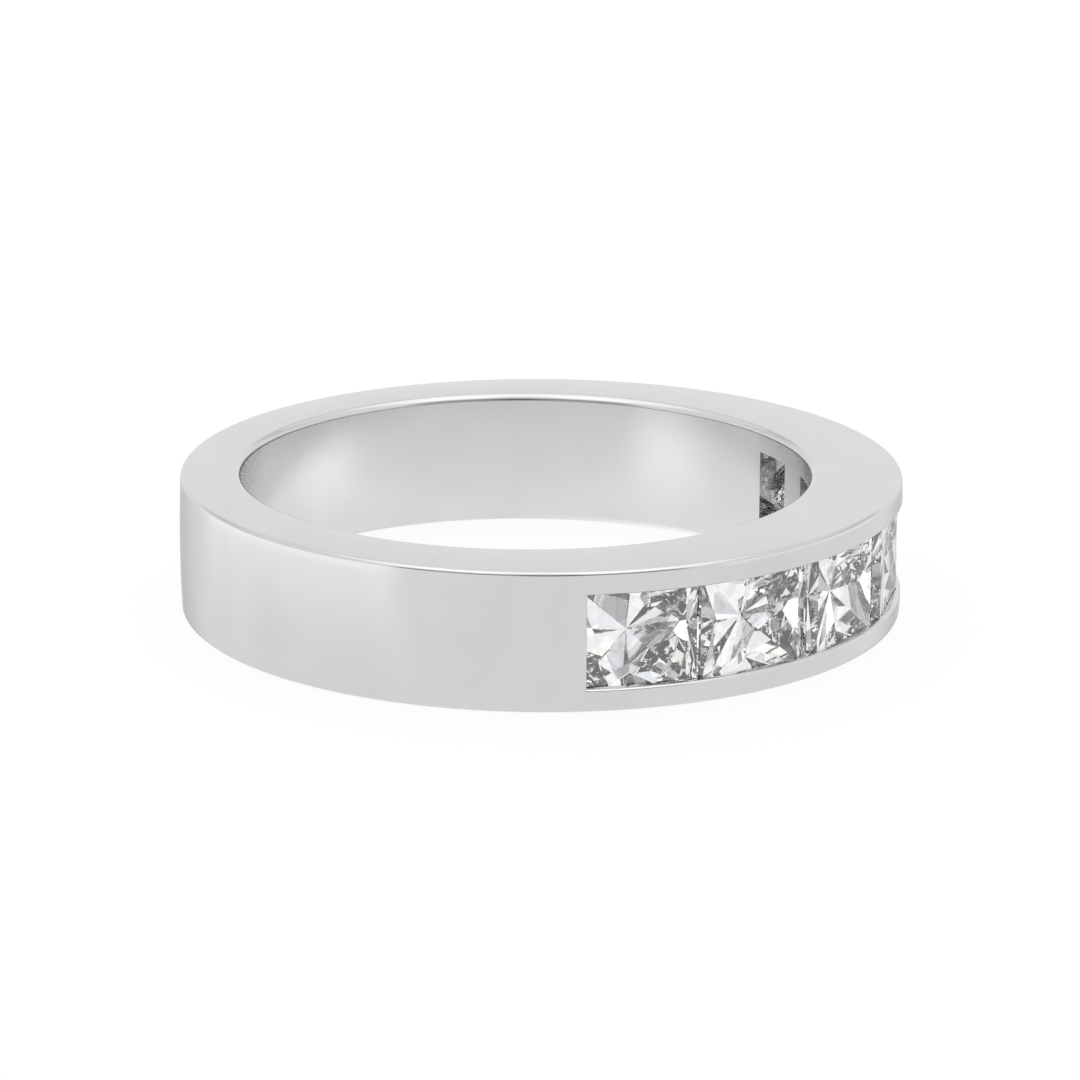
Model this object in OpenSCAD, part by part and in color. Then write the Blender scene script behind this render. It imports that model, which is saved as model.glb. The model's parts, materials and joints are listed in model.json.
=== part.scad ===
// A polished band lying on its side, with a channel of princess cut stones round its front.
// The finger hole runs along Z, the band rests on Z = 0, and the stones face -Y.
// The origin is the centre of the band's outside, on the resting plane. All lengths are millimetres.

/* [Finger hole] */
// Diameter of the finger hole
finger_d = 16.7; // [16.5:0.05:17]
// How far behind the centre of the outside the hole's centre lies, which thickens the front
hole_back = 0.507; // [0.4:0.001:0.6]
// Radius of the rounding round each mouth of the hole
mouth_round = 0.21; // [0.15:0.01:0.25]

/* [Band] */
// Outside diameter at the middle of the width
outer_d = 21.24; // [21.1:0.02:21.6]
// Width of the band along the finger
band_w = 4.05; // [3.95:0.05:4.4]
// How much the outer face bulges at the middle of its width
dome_rise = 0.05; // [0.02:0.01:0.08]
// Radius of the two outer edges
edge_r = 0.12; // [0.05:0.01:0.2]

/* [Stones] */
// Number of stones in the channel
stone_count = 6; // [4:1:7]
// Angle from one stone to the next
stone_pitch = 21; // [20.5:0.1:21.5]
// Size of a stone along the finger
stone_w = 3.42; // [3.3:0.02:3.5]
// Width of the table as a share of the stone's
table_share = 0.8; // [0.76:0.01:0.84]
// Height of the crown, from the girdle to the table
crown_h = 0.2; // [0.16:0.01:0.24]
// Thickness of the girdle
girdle_h = 0.08; // [0.05:0.01:0.1]
// Depth of the pavilion, from the girdle to the point
pavilion_h = 2; // [1.9:0.01:2.05]
// How deep the table lies under the top of the outer face
table_sink = 0.28; // [0.24:0.01:0.32]
// Clearance between a stone and whatever it lies beside
stone_gap = 0.02; // [0.01:0.01:0.03]

/* [Channel] */
// Height of the open channel between the rails
mouth_h = 2.7; // [2.6:0.02:2.8]
// How much of an end stone each end lip covers, as an angle
end_lip = 3; // [2.5:0.1:3.5]
// Depth of the channel's floor under the outer face
floor_depth = 2; // [1.95:0.01:2.05]
// Length of each window along the band
window_l = 1.52; // [1.3:0.02:1.6]
// Height of each window and of the space behind the stones
window_h = 2.6; // [2.4:0.02:2.62]

/* [Hidden] */
finger_r = finger_d / 2;
outer_r = outer_d / 2;
band_mid = band_w / 2;
stone_r = outer_r - table_sink - crown_h - girdle_h;
half_w = stone_w / 2;
half_l = stone_r * tan(stone_pitch / 2) - stone_gap / 2;
stones_angle = stone_count * stone_pitch;
mouth_angle = stones_angle - 2 * end_lip;
well_angle = stones_angle - end_lip;
floor_r = outer_r - floor_depth;
dome_r = (pow(band_mid, 2) + pow(dome_rise, 2)) / (2 * dome_rise);
dome_x = outer_r - dome_r;
edge_x = dome_x + sqrt(pow(dome_r - edge_r, 2) - pow(band_mid - edge_r, 2));
edge_turn = atan2(band_mid - edge_r, edge_x - dome_x);
// Flat across the point of the pavilion, as a height cut off it
point_cut = 0.02;
// The cutters reach this far past the metal
beyond = 2;
// The pockets under the rails end this far under the girdle, inside the open well
pocket_h = 0.78;
// Room left round the girdle in its pocket, a little over stone_gap so that the pockets join
pocket_room = stone_gap + 0.01;
// Large enough for a cube to stand in for the half space behind a facet
half_space = 12;
// Apex of the steep facets under the girdle, which fall at 60 degrees
keel_apex = half_w * tan(60);
side_apex = crown_h / (1 - table_share);

// Facets of a stone, worked out for a square one whose half side is 1.
// Columns: turn from the middle of a side, reach at the girdle, apex over or under the girdle.
TURN = 0;
REACH = 1;
APEX = 2;
crown_facets = [
    [0, 1, side_apex],
    [45, 1.4, 0.97 * side_apex],
];
pavilion_facets = [
    [0, 1, keel_apex],
    [6, 1.075, 1.3 * pavilion_h],
    [12, 1.115, 1.175 * pavilion_h],
    [18, 1.16, 1.075 * pavilion_h],
    [25, 1.225, pavilion_h],
    [45, 1.385, pavilion_h],
];
pocket_facets = [[0, 1, keel_apex]];

$fn = 192;

function arc(centre, radius, from, to, steps) = [
    for (i = [0 : steps])
        let (a = from + (to - from) * i / steps)
        centre + [radius[0] * cos(a), radius[1] * sin(a)]
];

function inner(points) = [for (i = [1 : len(points) - 2]) points[i]];

// Turns of one kind of facet round the stone, without repeating one that is its own mirror image.
function turns(turn) = [
    for (side = [0 : 3], sign = (turn == 0 || turn == 45) ? [1] : [1, -1])
        90 * side + sign * turn
];

// Half section of the solid band: radius across, height up.
module band_section() {
    polygon(concat(
        [[0, 0]],
        arc([edge_x, edge_r], [edge_r, edge_r], -90, -edge_turn, 4),
        inner(arc([dome_x, band_mid], [dome_r, dome_r], -edge_turn, edge_turn, 8)),
        arc([edge_x, band_w - edge_r], [edge_r, edge_r], edge_turn, 90, 4),
        [[0, band_w]]
    ));
}

module finger_hole() {
    mouth_x = finger_r + mouth_round;
    rounding = [mouth_round, mouth_round];
    translate([0, hole_back, 0])
        rotate_extrude()
            polygon(concat(
                [[0, -beyond], [mouth_x, -beyond]],
                arc([mouth_x, mouth_round], rounding, 270, 180, 6),
                arc([mouth_x, band_w - mouth_round], rounding, 180, 90, 6),
                [[mouth_x, band_w + beyond], [0, band_w + beyond]]
            ));
}

// A curved slot round the front, from one radius outwards.
module slot(from_r, to_r, height, angle) {
    translate([0, 0, band_mid - height / 2])
        rotate([0, 0, -90 - angle / 2])
            rotate_extrude(angle = angle)
                translate([from_r, 0])
                    square([to_r - from_r, height]);
}

// Puts its children at stone k, with +Z facing out of the band and Z = 0 at the girdle's foot.
module at_stone(k) {
    rotate([0, 0, (k - (stone_count - 1) / 2) * stone_pitch])
        translate([0, -stone_r, band_mid])
            rotate([90, 0, 0])
                children();
}

// Everything on the stone's side of one facet. way is 1 on the crown and -1 on the pavilion.
module behind_facet(turn, reach, apex, way, room) {
    normal = [cos(turn) / half_l, sin(turn) / half_w, way * reach / apex];
    steepness = acos(normal[2] / norm(normal));
    offset_out = reach / norm(normal) + room;
    rotate([0, steepness, atan2(normal[1], normal[0])])
        translate([-half_space / 2, -half_space / 2, offset_out - half_space])
            cube(half_space);
}

module behind_facets(facets, way, room) {
    intersection_for (f = facets)
        intersection_for (turn = turns(f[TURN]))
            behind_facet(turn, f[REACH], f[APEX], way, room);
}

module block(room, top, bottom) {
    translate([-half_l - room, -half_w - room, -bottom])
        cube([2 * (half_l + room), 2 * (half_w + room), top + bottom]);
}

module cut_stone() {
    intersection() {
        block(0, girdle_h + crown_h, pavilion_h - point_cut);
        translate([0, 0, girdle_h])
            behind_facets(crown_facets, 1, 0);
        behind_facets(pavilion_facets, -1, 0);
    }
}

// The seat that is cut into both rails for one stone.
module pocket() {
    intersection() {
        block(pocket_room, girdle_h + crown_h + stone_gap, pocket_h);
        translate([0, 0, girdle_h])
            behind_facets([crown_facets[0]], 1, stone_gap);
        behind_facets(pocket_facets, -1, stone_gap);
    }
}

module window() {
    depth = stone_r - floor_r;
    translate([-window_l / 2, -window_h / 2, -depth - beyond])
        cube([window_l, window_h, beyond + stone_gap]);
}

module shank() {
    color("gainsboro")
        difference() {
            rotate_extrude()
                band_section();
            finger_hole();
            slot(floor_r, stone_r, window_h, well_angle);
            slot(stone_r - pocket_h / 2, outer_r + beyond, mouth_h, mouth_angle);
            for (k = [0 : stone_count - 1])
                at_stone(k) {
                    pocket();
                    window();
                }
        }
}

module stone(k) {
    color("aliceblue")
        at_stone(k - 1)
            cut_stone();
}

shank();
stone(1);  // stone_1
stone(2);  // stone_2
stone(3);  // stone_3
stone(4);  // stone_4
stone(5);  // stone_5
stone(6);  // stone_6
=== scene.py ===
import json
from math import atan2, cos, degrees, pi, radians, sin, sqrt, tan
import bmesh
import bpy
from mathutils import Matrix, Vector


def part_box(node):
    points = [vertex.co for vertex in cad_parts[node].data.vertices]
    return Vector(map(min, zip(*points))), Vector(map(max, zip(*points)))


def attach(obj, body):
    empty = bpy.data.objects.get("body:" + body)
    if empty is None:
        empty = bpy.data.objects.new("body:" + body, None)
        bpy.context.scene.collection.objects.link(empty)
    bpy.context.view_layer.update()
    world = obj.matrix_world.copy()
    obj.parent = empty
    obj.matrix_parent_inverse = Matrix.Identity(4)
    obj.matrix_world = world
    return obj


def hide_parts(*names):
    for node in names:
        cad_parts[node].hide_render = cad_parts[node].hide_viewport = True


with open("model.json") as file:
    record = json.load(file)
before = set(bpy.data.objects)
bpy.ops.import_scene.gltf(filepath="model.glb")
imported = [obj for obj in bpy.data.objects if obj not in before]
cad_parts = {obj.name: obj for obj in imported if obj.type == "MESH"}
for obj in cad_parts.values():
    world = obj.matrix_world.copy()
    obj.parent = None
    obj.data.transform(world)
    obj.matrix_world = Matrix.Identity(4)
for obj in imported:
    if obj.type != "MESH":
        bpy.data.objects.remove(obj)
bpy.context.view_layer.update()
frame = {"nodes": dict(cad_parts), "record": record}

mm = 0.001   # the dictionaries hold millimetres, unless a note says otherwise, and the scene is in metres
record = frame["record"]
print("frame loaded, nodes:", len(frame["nodes"]))


# Colours and materials

def hexToLinear(hexColour, alpha=1.0):
    channels = []
    for start in (1, 3, 5):
        value = int(hexColour[start:start + 2], 16) / 255
        channels.append(value / 12.92 if value <= 0.04045 else ((value + 0.055) / 1.055) ** 2.4)
    return (*channels, alpha)


def addNode(tree, kind, settings=None, inputs=None, links=None):
    node = tree.nodes.new(kind)
    for name, value in (settings or {}).items():
        setattr(node, name, value)
    for name, value in (inputs or {}).items():
        node.inputs[name].default_value = value
    for name, socket in (links or {}).items():
        tree.links.new(socket, node.inputs[name])
    return node


def newMaterial(name):
    material = bpy.data.materials.new(name)
    material.use_nodes = True
    material.node_tree.nodes.clear()
    return material, material.node_tree


whiteGoldLook = {
    "colour": "#D5D5D5",       # rhodium throws back about two thirds of the light
    "cloudColour": "#D2D2D2",  # where the mop left the plating a little duller
    "cloudSize": 1.6,
    "cloudEdge": (0.35, 0.65), # the noise values where a cloud starts and is full
    "roughness": (0.05, 0.10),
    "boreRoughness": 0.22,     # the felt buff leaves the finger hole softer than the outside
    "boreEdge": (0.02, 0.12),  # how far past the hole's wall the softer finish starts to end, and ends
    "waveSize": 2.2,           # from one soft wave of hand polishing to the next
    "waveHeight": 0.0015,
    "scratchSize": 0.09,       # really about 0.01, drawn coarser so that it shows
    "scratchTurn": 0.6,        # how much of the pattern one radian of the band takes: a little, so it runs long
    "scratchHeight": 0.00004,
}
noiseSpread = (0.3, 0.7)       # nearly all of a noise texture's values lie between these


def makeWhiteGold(look):
    # 14 carat white gold, cast, mop polished and rhodium plated: a mirror with faint soft waves,
    # cloudy patches and hairlines that run round the band
    material, tree = newMaterial("rhodiumPlatedWhiteGold")
    place = addNode(tree, "ShaderNodeTexCoord")
    clouds = addNode(tree, "ShaderNodeTexNoise", inputs={"Scale": 1 / (look["cloudSize"] * mm), "Detail": 2.0},
                     links={"Vector": place.outputs["Object"]})
    start, full = look["cloudEdge"]
    dulled = addNode(tree, "ShaderNodeMapRange", inputs={"From Min": start, "From Max": full},
                     links={"Value": clouds.outputs["Fac"]})
    colour = addNode(tree, "ShaderNodeMix", {"data_type": "RGBA"},
                     {6: hexToLinear(look["colour"]), 7: hexToLinear(look["cloudColour"])},
                     {0: dulled.outputs["Result"]})

    # distance from the hole's axis tells the bore from the outside
    fromAxis = addNode(tree, "ShaderNodeVectorMath", {"operation": "SUBTRACT"},
                       {1: (0, bandSize["holeBack"] * mm, 0)}, {0: place.outputs["Object"]})
    flat = addNode(tree, "ShaderNodeVectorMath", {"operation": "MULTIPLY"}, {1: (1, 1, 0)},
                   {0: fromAxis.outputs["Vector"]})
    radius = addNode(tree, "ShaderNodeVectorMath", {"operation": "LENGTH"}, links={0: flat.outputs["Vector"]})
    start, end = [(bandSize["holeRadius"] + past) * mm for past in look["boreEdge"]]
    bore = addNode(tree, "ShaderNodeMapRange", {"interpolation_type": "SMOOTHSTEP"},
                   {"From Min": start, "From Max": end, "To Min": 1.0, "To Max": 0.0},
                   {"Value": radius.outputs["Value"]})

    # hairlines: noise drawn out round the band by reading radius and height, with the turn squeezed
    parts = addNode(tree, "ShaderNodeSeparateXYZ", links={"Vector": place.outputs["Object"]})
    turn = addNode(tree, "ShaderNodeMath", {"operation": "ARCTAN2"},
                   links={0: parts.outputs["X"], 1: parts.outputs["Y"]})
    slowTurn = addNode(tree, "ShaderNodeMath", {"operation": "MULTIPLY"}, {1: look["scratchTurn"] * mm},
                       {0: turn.outputs["Value"]})
    roundBand = addNode(tree, "ShaderNodeCombineXYZ",
                        links={"X": radius.outputs["Value"], "Y": slowTurn.outputs["Value"], "Z": parts.outputs["Z"]})
    hairlines = addNode(tree, "ShaderNodeTexNoise",
                        inputs={"Scale": 1 / (look["scratchSize"] * mm), "Detail": 3.0},
                        links={"Vector": roundBand.outputs["Vector"]})
    low, high = noiseSpread
    brightest, dullest = look["roughness"]
    outside = addNode(tree, "ShaderNodeMapRange",
                      inputs={"From Min": low, "From Max": high, "To Min": brightest, "To Max": dullest},
                      links={"Value": hairlines.outputs["Fac"]})
    roughness = addNode(tree, "ShaderNodeMix", {"data_type": "FLOAT"}, {3: look["boreRoughness"]},
                        {0: bore.outputs["Result"], 2: outside.outputs["Result"]})

    waves = addNode(tree, "ShaderNodeTexNoise", inputs={"Scale": 1 / (look["waveSize"] * mm), "Detail": 1.5},
                    links={"Vector": place.outputs["Object"]})
    lines = addNode(tree, "ShaderNodeBump", inputs={"Strength": 1.0, "Distance": look["scratchHeight"] * mm},
                    links={"Height": hairlines.outputs["Fac"]})
    bump = addNode(tree, "ShaderNodeBump", inputs={"Strength": 1.0, "Distance": look["waveHeight"] * mm},
                   links={"Height": waves.outputs["Fac"], "Normal": lines.outputs["Normal"]})
    metal = addNode(tree, "ShaderNodeBsdfPrincipled", inputs={"Metallic": 1.0},
                    links={"Base Color": colour.outputs[2], "Roughness": roughness.outputs[0],
                           "Normal": bump.outputs["Normal"]})
    addNode(tree, "ShaderNodeOutputMaterial", links={"Surface": metal.outputs["BSDF"]})
    return material


diamondLook = {
    "warm": "#FFFDF9",         # painted fire: a trace of warmth and of blue here and there, standing in for the coloured flashes that a cut stone's dispersion throws
    "cool": "#F7FAFF",
    "paintedFireSize": 0.7,
    "paintedFireEdge": (0.42, 0.58),  # the noise values where the painted fire starts to turn cool, and is cool
    "polishSize": 0.3,         # the wheel's lines, really under 0.001, drawn coarser so that they show at all
    "polishHeight": 0.001,
    "bend": 2.417,             # diamond's index of refraction
}


def makeDiamond(look):
    # Near colourless diamond, its flat facets polished on a wheel: it bends light so much that it mirrors inside
    material, tree = newMaterial("nearColourlessDiamond")
    place = addNode(tree, "ShaderNodeTexCoord")
    # painted fire: noise patches of warm and cool in the stone's colour stand in for the coloured flashes of
    # dispersion; the stone itself is near colourless
    paintedFirePatches = addNode(tree, "ShaderNodeTexNoise", inputs={"Scale": 1 / (look["paintedFireSize"] * mm), "Detail": 1.0},
                      links={"Vector": place.outputs["Object"]})
    start, full = look["paintedFireEdge"]
    paintedFireShare = addNode(tree, "ShaderNodeMapRange", {"interpolation_type": "SMOOTHSTEP"},
                    {"From Min": start, "From Max": full}, {"Value": paintedFirePatches.outputs["Fac"]})
    paintedFireTint = addNode(tree, "ShaderNodeMix", {"data_type": "RGBA"},
                   {6: hexToLinear(look["warm"]), 7: hexToLinear(look["cool"])}, {0: paintedFireShare.outputs["Result"]})
    lines = addNode(tree, "ShaderNodeTexNoise", inputs={"Scale": 1 / (look["polishSize"] * mm), "Detail": 1.0},
                    links={"Vector": place.outputs["Object"]})
    bump = addNode(tree, "ShaderNodeBump", inputs={"Strength": 1.0, "Distance": look["polishHeight"] * mm},
                   links={"Height": lines.outputs["Fac"]})
    stone = addNode(tree, "ShaderNodeBsdfPrincipled",
                    inputs={"Roughness": 0.0, "IOR": look["bend"], "Transmission Weight": 1.0},
                    links={"Base Color": paintedFireTint.outputs[2], "Normal": bump.outputs["Normal"]})
    addNode(tree, "ShaderNodeOutputMaterial", links={"Surface": stone.outputs["BSDF"]})
    return material


# Sizes, some of them read off the frame

holeMount = next(m for m in record["mounts"] if m["name"] == "finger_hole")
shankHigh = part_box("shank")[1]
stoneNames = sorted(n for n in frame["nodes"] if n.startswith("stone_"))

bandSize = {
    "outerRadius": shankHigh.y / mm,
    "width": shankHigh.z / mm,
    "holeRadius": holeMount["dims"]["r_mm"],
    "holeBack": holeMount["pos_m"][1] / mm,
    "coreRadius": 7.5,         # the blank's own hole, inside the finger hole
    "domeRise": 0.05,
    "edgeRadius": 0.12,
    "mouthRound": 0.21,
    "cutBeyond": 1,            # how far the finger hole's cutter stands past the band
    "steps": 360,
    "sharpAngle": 40,          # degrees, past which an edge is not shaded round
    "mergeGap": 1e-5,
    "cutMergeGap": 1e-4,
}
channelSize = {
    "pitch": 21,               # degrees
    "mouthHeight": 2.7,
    "mouthAngle": 120,         # degrees
    "wellHeight": 2.6,
    "wellAngle": 123,          # degrees
    "mouthRadius": 9.67,
    "floorRadius": 8.62,
    "girdleRadius": 10.06,
    "girdleHeight": 0.08,
    "pocketHalfLength": 1.885,
    "pocketHalfWidth": 1.74,
    "pocketTop": 0.22,
    "pocketDepth": 0.78,
    "crownSlope": 30.3,        # degrees
    "keelSlope": 60,           # degrees
    "windowLength": 1.52,
    "windowReach": 2,          # how long its cutter is, towards the finger
    "windowOverlap": 0.02,     # and how far that stands up into the channel
    "rimRound": 0.1,           # the soft edge that polishing leaves round the channel's mouth
    "rimSteps": 6,
    "rimFall": 0.02,           # how far the domed face falls from its crest to that edge
    "mouthBeyond": 2,          # how far the mouth's cutter stands past the band
}


whiteGold = makeWhiteGold(whiteGoldLook)
diamond = makeDiamond(diamondLook)
print("materials made")


def arcPoints(centre, radius, start, end, steps):
    angles = [radians(start + (end - start) * i / steps) for i in range(steps + 1)]
    return [(centre[0] + radius * cos(angle), centre[1] + radius * sin(angle)) for angle in angles]


def bandSection(size):
    mid = size["width"] / 2
    edge = size["edgeRadius"]
    domeRadius = (mid ** 2 + size["domeRise"] ** 2) / (2 * size["domeRise"])
    domeX = size["outerRadius"] - domeRadius
    edgeX = domeX + sqrt((domeRadius - edge) ** 2 - (mid - edge) ** 2)
    turn = degrees(atan2(mid - edge, edgeX - domeX))
    lowEdge = arcPoints((edgeX, edge), edge, -90, -turn, 8)
    dome = arcPoints((domeX, mid), domeRadius, -turn, turn, 16)[1:-1]
    highEdge = arcPoints((edgeX, size["width"] - edge), edge, turn, 90, 8)
    return [(size["coreRadius"], 0), *lowEdge, *dome, *highEdge, (size["coreRadius"], size["width"])]


def holeSection(size):
    rounding = size["mouthRound"]
    mouthX = size["holeRadius"] + rounding
    bottom, top = -size["cutBeyond"], size["width"] + size["cutBeyond"]
    low = arcPoints((mouthX, rounding), rounding, 270, 180, 12)
    high = arcPoints((mouthX, size["width"] - rounding), rounding, 180, 90, 12)
    return [(0, bottom), (mouthX, bottom), *low, *high, (mouthX, top), (0, top)]


def spun(name, section, centreY, steps, angle=360, startAngle=0):
    # A closed section, radius and height in mm, turned round the vertical through (0, centreY)
    bm = bmesh.new()
    turnTo = Matrix.Rotation(radians(startAngle), 3, "Z")
    verts = [bm.verts.new(turnTo @ Vector((r, 0, z)) * mm + Vector((0, centreY * mm, 0))) for r, z in section]
    face = bm.faces.new(verts)
    whole = angle == 360
    bmesh.ops.spin(bm, geom=list(face.edges) if whole else [face, *face.edges], cent=(0, centreY * mm, 0),
                   axis=(0, 0, 1), angle=radians(angle), steps=steps, use_merge=whole)
    if whole:
        bm.faces.remove(face)
    bmesh.ops.remove_doubles(bm, verts=bm.verts, dist=bandSize["mergeGap"] * mm)
    bmesh.ops.dissolve_degenerate(bm, edges=bm.edges, dist=bandSize["mergeGap"] * mm)
    bmesh.ops.recalc_face_normals(bm, faces=bm.faces)
    return toObject(bm, name)


def toObject(bm, name):
    mesh = bpy.data.meshes.new(name)
    bm.to_mesh(mesh)
    bm.free()
    piece = bpy.data.objects.new(name, mesh)
    bpy.context.scene.collection.objects.link(piece)
    return piece


def atStone(size, index, count):
    # Stands a shape that faces +Z, with its girdle at Z = 0, where stone number index sits
    turn = Matrix.Rotation(radians((index - (count - 1) / 2) * size["pitch"]), 4, "Z")
    out = Matrix.Translation(Vector((0, -size["girdleRadius"], bandSize["width"] / 2)) * mm)
    return turn @ out @ Matrix.Rotation(pi / 2, 4, "X")


def pocketCutter(size, index, count):
    bm = bmesh.new()
    bmesh.ops.create_cube(bm, size=1)
    halfLength, halfWidth, girdle = size["pocketHalfLength"], size["pocketHalfWidth"], size["girdleHeight"]
    bmesh.ops.scale(bm, verts=bm.verts, vec=Vector((2 * halfLength, 2 * halfWidth, girdle)) * mm)
    bmesh.ops.translate(bm, verts=bm.verts, vec=Vector((0, 0, girdle / 2)) * mm)
    bm.faces.ensure_lookup_table()
    for direction, rise, slope in ((1, size["pocketTop"], size["crownSlope"]),
                                   (-1, size["pocketDepth"], size["keelSlope"])):
        bm.normal_update()
        end = max(bm.faces, key=lambda f: f.calc_center_median().z * direction)
        grown = bmesh.ops.extrude_face_region(bm, geom=[end])
        bmesh.ops.delete(bm, geom=[end], context="FACES_ONLY")
        verts = [v for v in grown["geom"] if isinstance(v, bmesh.types.BMVert)]
        inwards = rise / tan(radians(slope))
        bmesh.ops.translate(bm, verts=verts, vec=Vector((0, 0, direction * rise)) * mm)
        bmesh.ops.scale(bm, verts=verts, vec=((halfLength - inwards) / halfLength,
                                              (halfWidth - inwards) / halfWidth, 1))
    bmesh.ops.recalc_face_normals(bm, faces=bm.faces)
    bmesh.ops.transform(bm, matrix=atStone(size, index, count), verts=bm.verts)
    return toObject(bm, "pocketCutter")


def windowCutter(size, index, count):
    bm = bmesh.new()
    depth = size["girdleRadius"] - size["floorRadius"]
    reach = size["windowReach"]
    bmesh.ops.create_cube(bm, size=1)
    bmesh.ops.scale(bm, verts=bm.verts, vec=Vector((size["windowLength"], size["wellHeight"], reach)) * mm)
    bmesh.ops.translate(bm, verts=bm.verts, vec=Vector((0, 0, size["windowOverlap"] - depth - reach / 2)) * mm)
    bmesh.ops.transform(bm, matrix=atStone(size, index, count), verts=bm.verts)
    return toObject(bm, "windowCutter")


def slotCutter(name, innerRadius, outerRadius, height, angle):
    low = bandSize["width"] / 2 - height / 2
    section = [(innerRadius, low), (outerRadius, low), (outerRadius, low + height), (innerRadius, low + height)]
    return spun(name, section, 0, angle, angle, -90 - angle / 2)


def mouthCutter(size, bandRadius):
    # Made flat, with the length round the band along X, the height along Y and the radius along Z, then bent
    surfaceRadius = bandRadius - size["rimFall"]
    halfLength, halfHeight = radians(size["mouthAngle"] / 2) * surfaceRadius, size["mouthHeight"] / 2
    rounding = size["rimRound"]
    bm = bmesh.new()
    bmesh.ops.create_grid(bm, x_segments=size["mouthAngle"], y_segments=1, size=mm)
    bmesh.ops.scale(bm, verts=bm.verts, vec=(halfLength, halfHeight, 1))
    bmesh.ops.translate(bm, verts=bm.verts, vec=Vector((0, 0, size["mouthRadius"])) * mm)
    slopes = [radians(90 * i / size["rimSteps"]) for i in range(size["rimSteps"] + 1)]
    rings = [(surfaceRadius - rounding * (1 - sin(slope)), rounding * (1 - cos(slope))) for slope in slopes]
    faces, radius, reach = list(bm.faces), size["mouthRadius"], 0
    for nextRadius, nextReach in [*rings, (surfaceRadius + size["mouthBeyond"], rounding)]:
        grown = bmesh.ops.extrude_face_region(bm, geom=faces)
        if radius != size["mouthRadius"]:
            bmesh.ops.delete(bm, geom=faces, context="FACES")
        faces = [f for f in grown["geom"] if isinstance(f, bmesh.types.BMFace)]
        verts = [v for v in grown["geom"] if isinstance(v, bmesh.types.BMVert)]
        bmesh.ops.translate(bm, verts=verts, vec=Vector((0, 0, nextRadius - radius)) * mm)
        bmesh.ops.scale(bm, verts=verts, vec=((halfLength + nextReach) / (halfLength + reach),
                                              (halfHeight + nextReach) / (halfHeight + reach), 1))
        radius, reach = nextRadius, nextReach
    for vert in bm.verts:
        turn = vert.co.x / (surfaceRadius * mm)
        vert.co = (vert.co.z * sin(turn), -vert.co.z * cos(turn), vert.co.y + bandSize["width"] / 2 * mm)
    bmesh.ops.recalc_face_normals(bm, faces=bm.faces)
    return toObject(bm, "mouth")


def cutAway(piece, cutters):
    for cutter in cutters:
        cut = piece.modifiers.new("cut", "BOOLEAN")
        cut.operation, cut.solver, cut.object = "DIFFERENCE", "MANIFOLD", cutter
    result = bpy.data.meshes.new_from_object(piece.evaluated_get(bpy.context.evaluated_depsgraph_get()))
    piece.modifiers.clear()
    piece.data = result
    for cutter in cutters:
        bpy.data.objects.remove(cutter)
    return piece


def makeShank(band, channel):
    count = len(stoneNames)
    shank = spun("polishedShank", bandSection(band), 0, band["steps"])
    cutters = [spun("fingerHole", holeSection(band), band["holeBack"], band["steps"])]
    cutters.append(slotCutter("well", channel["floorRadius"], channel["girdleRadius"],
                              channel["wellHeight"], channel["wellAngle"]))
    cutters.append(mouthCutter(channel, band["outerRadius"]))
    for index in range(count):
        cutters.append(pocketCutter(channel, index, count))
        cutters.append(windowCutter(channel, index, count))
    cutAway(shank, cutters)
    bm = bmesh.new()
    bm.from_mesh(shank.data)
    bmesh.ops.remove_doubles(bm, verts=bm.verts, dist=band["cutMergeGap"] * mm)
    bmesh.ops.dissolve_degenerate(bm, edges=bm.edges, dist=band["cutMergeGap"] * mm)
    for face in bm.faces:
        face.smooth = True
    for edge in bm.edges:
        edge.smooth = not (edge.is_manifold and edge.calc_face_angle(0) > radians(band["sharpAngle"]))
    bm.to_mesh(shank.data)
    bm.free()
    weighted = shank.modifiers.new("evenNormals", "WEIGHTED_NORMAL")
    weighted.keep_sharp = True
    shank.data.materials.clear()
    shank.data.materials.append(whiteGold)
    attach(shank, "root")
    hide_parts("shank")
    print("shank made:", len(shank.data.polygons), "faces")
    return shank


def dressStones():
    for name in stoneNames:
        bpy.data.objects[name].material_slots[0].material = diamond
    print("stones dressed:", len(stoneNames))


makeShank(bandSize, channelSize)
dressStones()


# Floor, light and camera

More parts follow.
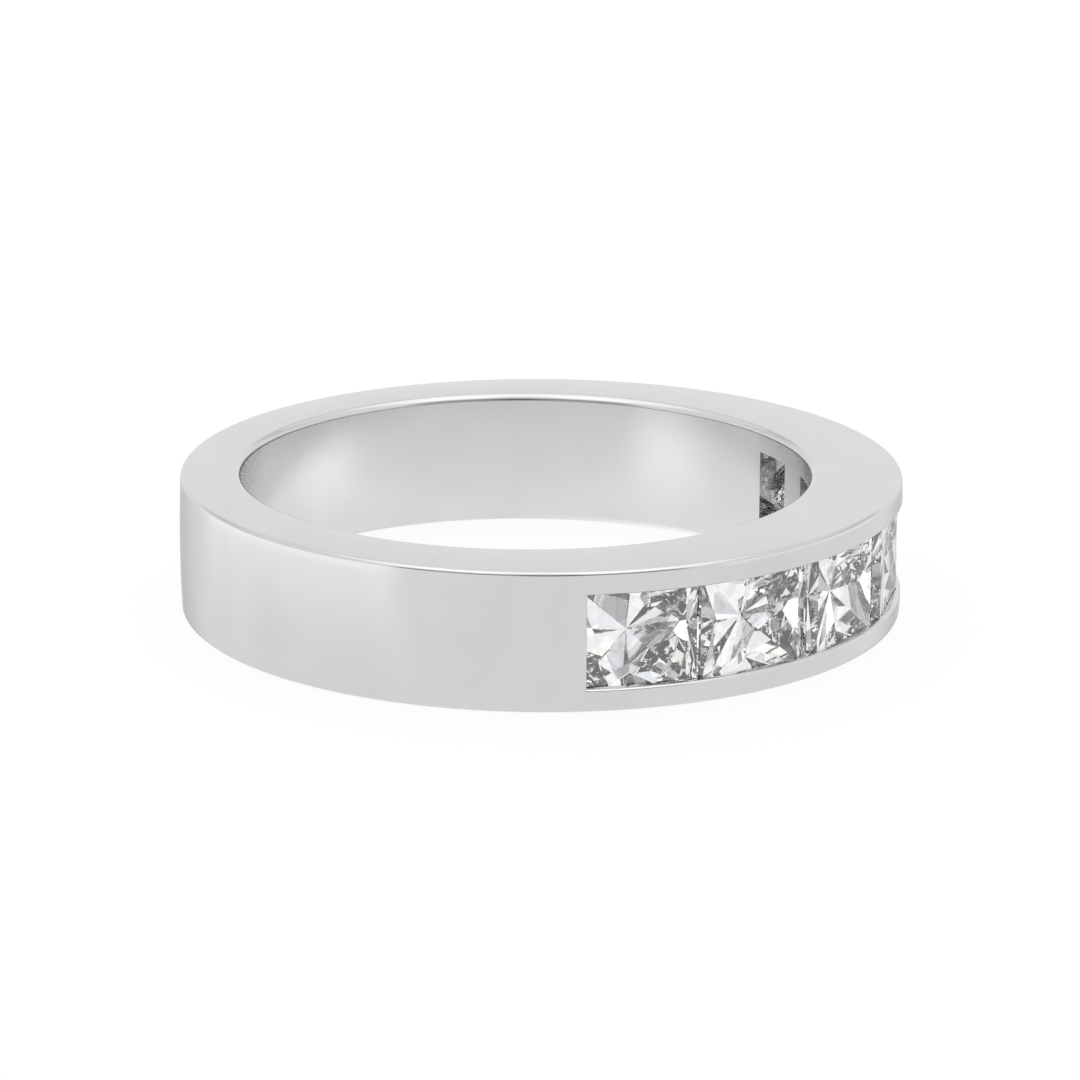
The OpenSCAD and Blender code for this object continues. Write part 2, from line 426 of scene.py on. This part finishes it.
studio = {
    "floorSize": 600,
    "panelColour": "#F8F8F8",
    "panelGlow": 0.943,        # an opal panel lit from below, so that hardly any shadow lies under the band
    "panelBody": "#505050",    # and how little of the light from above it throws back
    "tentColour": "#FFFFFF",
    "tentGlow": 0.97,
    # softboxes behind the tent's cloth, and its dark gap for the camera: azimuth from the camera's own,
    # half its width, height, half its height, width of its soft edge (all degrees), and what it adds to the tent
    "boxes": {
        "ceiling": (0, 200, 90, 34, 16, 0.42),
        "overLeft": (-42, 26, 54, 18, 8, 0.36),
        "overRight": (44, 26, 54, 18, 8, 0.36),
        "left": (-88, 42, -5, 9, 14, 0.34),
        "right": (92, 34, -3, 4, 6, 0.35),
        "backSeam": (180, 70, 30, 5, 6, -0.2),
        "lowBack": (180, 34, -24, 14, 36, -0.42),
        "cameraGap": (0, 46, 17, 14, 8, -0.58),
        "camera": (3, 9, 14, 10, 6, -0.37),
    },
    "clothFolds": (2.5, 0.02), # folds across the tent, and how much they change its light
    # a lit disc close under the panel, which only the inside of the band mirrors, with two brighter strips on it
    "discRadius": 10.3,
    "discDepth": 1,
    "discGlow": 1.02,
    # which way a strip runs, as degrees from the camera's azimuth, how far its middle lies from the hole's axis,
    # half its width, width of its soft edge, where along it its light starts and where it is full, and its gain
    "strips": {
        "left": (94, 6.2, 3, 3, 0, 9, 0.6),
        "right": (-58, -4.6, 2.4, 2.6, -3.5, 8, 0.48),
    },
    "cameraAzimuth": -66.8,    # degrees, 0 looks along +Y
    "cameraElevation": 17.07,  # degrees
    "cameraDistance": 150,     # from the finger hole's centre, on the floor
    "cameraRoll": 0.237,       # degrees
    "cameraShift": (0.01395, 0.05441),
    "cameraNear": 10,          # nothing nearer than this is drawn
    "lens": 168.89,
    "sensor": 36,
    "bounces": (32, 24, 12),   # in all, through the stones and off mirrors, as light goes round in a cut stone
}


def direction(azimuth, height):
    azimuth, height = radians(azimuth), radians(height)
    return Vector((sin(azimuth) * cos(height), -cos(azimuth) * cos(height), sin(height)))


def within(tree, value, middle, half, soft):
    # 1 where the value lies nearer the middle than half, falling smoothly to 0 across the soft edge
    off = addNode(tree, "ShaderNodeMath", {"operation": "SUBTRACT"}, {1: middle}, {0: value})
    size = addNode(tree, "ShaderNodeMath", {"operation": "ABSOLUTE"}, links={0: off.outputs["Value"]})
    return addNode(tree, "ShaderNodeMapRange", {"interpolation_type": "SMOOTHSTEP"},
                   {"From Min": half + soft / 2, "From Max": half - soft / 2},
                   {"Value": size.outputs["Value"]}).outputs["Result"]


def makeFloor(settings):
    bm = bmesh.new()
    bmesh.ops.create_grid(bm, x_segments=1, y_segments=1, size=settings["floorSize"] / 2 * mm)
    floor = toObject(bm, "floor")
    material, tree = newMaterial("opalAcrylicPanel")
    panel = addNode(tree, "ShaderNodeBsdfPrincipled",
                    inputs={"Base Color": hexToLinear(settings["panelBody"]), "Roughness": 0.9,
                            "Emission Color": hexToLinear(settings["panelColour"]),
                            "Emission Strength": settings["panelGlow"]})
    addNode(tree, "ShaderNodeOutputMaterial", links={"Surface": panel.outputs["BSDF"]})
    floor.data.materials.append(material)
    floor.visible_glossy = False   # the band mirrors the tent, not its own shadow


def makeGlowDisc(settings):
    centre = Vector((0, bandSize["holeBack"], -settings["discDepth"])) * mm
    bm = bmesh.new()
    bmesh.ops.create_circle(bm, cap_ends=True, segments=64, radius=settings["discRadius"] * mm)
    bmesh.ops.translate(bm, verts=bm.verts, vec=centre)
    disc = toObject(bm, "glowDisc")
    material, tree = newMaterial("litOpalDisc")
    place = addNode(tree, "ShaderNodeTexCoord")
    fromCentre = addNode(tree, "ShaderNodeVectorMath", {"operation": "SUBTRACT"}, {1: centre},
                         {0: place.outputs["Object"]})
    total = {}
    for turn, middle, half, soft, start, end, gain in settings["strips"].values():
        along, across = [addNode(tree, "ShaderNodeVectorMath", {"operation": "DOT_PRODUCT"},
                                 {1: direction(settings["cameraAzimuth"] + turn + quarter, 0)},
                                 {0: fromCentre.outputs["Vector"]}).outputs["Value"] for quarter in (0, 90)]
        rise = addNode(tree, "ShaderNodeMapRange", inputs={"From Min": start * mm, "From Max": end * mm},
                       links={"Value": along})
        strip = addNode(tree, "ShaderNodeMath", {"operation": "MULTIPLY"},
                        links={0: within(tree, across, middle * mm, half * mm, soft * mm),
                               1: rise.outputs["Result"]})
        more = addNode(tree, "ShaderNodeMath", {"operation": "MULTIPLY_ADD"}, {1: gain, 2: settings["discGlow"]},
                       {0: strip.outputs["Value"], **total})
        total = {2: more.outputs["Value"]}   # the next strip adds to this one, in place of the disc's own glow
    light = addNode(tree, "ShaderNodeEmission", links={"Strength": more.outputs["Value"]})
    addNode(tree, "ShaderNodeOutputMaterial", links={"Surface": light.outputs["Emission"]})
    disc.data.materials.append(material)
    disc.visible_camera = disc.visible_diffuse = disc.visible_shadow = False


def makeTent(settings):
    world = bpy.data.worlds.new("softTent")
    bpy.context.scene.world = world
    world.use_nodes = True
    tree = world.node_tree
    tree.nodes.clear()
    place = addNode(tree, "ShaderNodeTexCoord")
    foldCount, foldDepth = settings["clothFolds"]
    folds = addNode(tree, "ShaderNodeTexNoise", inputs={"Scale": foldCount, "Detail": 2.0},
                    links={"Vector": place.outputs["Generated"]})
    glow = settings["tentGlow"]
    low, high = noiseSpread
    total = addNode(tree, "ShaderNodeMapRange",
                    inputs={"From Min": low, "From Max": high,
                            "To Min": glow - foldDepth, "To Max": glow + foldDepth},
                    links={"Value": folds.outputs["Fac"]}).outputs["Result"]
    parts = addNode(tree, "ShaderNodeSeparateXYZ", links={"Vector": place.outputs["Generated"]})
    rise = addNode(tree, "ShaderNodeMath", {"operation": "ARCSINE"}, links={0: parts.outputs["Z"]})

    for azimuth, halfWidth, height, halfHeight, soft, gain in settings["boxes"].values():
        ahead, aside = [addNode(tree, "ShaderNodeVectorMath", {"operation": "DOT_PRODUCT"},
                                {1: direction(settings["cameraAzimuth"] + azimuth + turn, 0)},
                                {0: place.outputs["Generated"]}).outputs["Value"] for turn in (0, 90)]
        angle = addNode(tree, "ShaderNodeMath", {"operation": "ARCTAN2"}, links={0: aside, 1: ahead})
        both = addNode(tree, "ShaderNodeMath", {"operation": "MULTIPLY"},
                       links={0: within(tree, angle.outputs["Value"], 0, radians(halfWidth), radians(soft)),
                              1: within(tree, rise.outputs["Value"], radians(height), radians(halfHeight),
                                        radians(soft))})
        total = addNode(tree, "ShaderNodeMath", {"operation": "MULTIPLY_ADD"}, {1: gain},
                        {0: both.outputs["Value"], 2: total}).outputs["Value"]
    sky = addNode(tree, "ShaderNodeBackground", inputs={"Color": hexToLinear(settings["tentColour"])},
                  links={"Strength": total})
    addNode(tree, "ShaderNodeOutputWorld", links={"Surface": sky.outputs["Background"]})


def makeCamera(settings):
    back = direction(settings["cameraAzimuth"], settings["cameraElevation"])
    camera = bpy.data.objects.new("camera", bpy.data.cameras.new("camera"))
    bpy.context.scene.collection.objects.link(camera)
    facing = (-back).to_track_quat("-Z", "Y").to_matrix() @ Matrix.Rotation(radians(settings["cameraRoll"]), 3, "Z")
    place = (Vector((0, bandSize["holeBack"], 0)) + back * settings["cameraDistance"]) * mm
    camera.matrix_world = Matrix.Translation(place) @ facing.to_4x4()
    camera.data.lens = settings["lens"]
    camera.data.sensor_width = settings["sensor"]
    camera.data.shift_x, camera.data.shift_y = settings["cameraShift"]
    camera.data.clip_start = settings["cameraNear"] * mm
    bpy.context.scene.camera = camera


makeFloor(studio)
makeGlowDisc(studio)
makeTent(studio)
makeCamera(studio)
bpy.context.scene.view_settings.view_transform = "Standard"
cycles = bpy.context.scene.cycles
cycles.max_bounces, cycles.transmission_bounces, cycles.glossy_bounces = studio["bounces"]
print("studio ready")
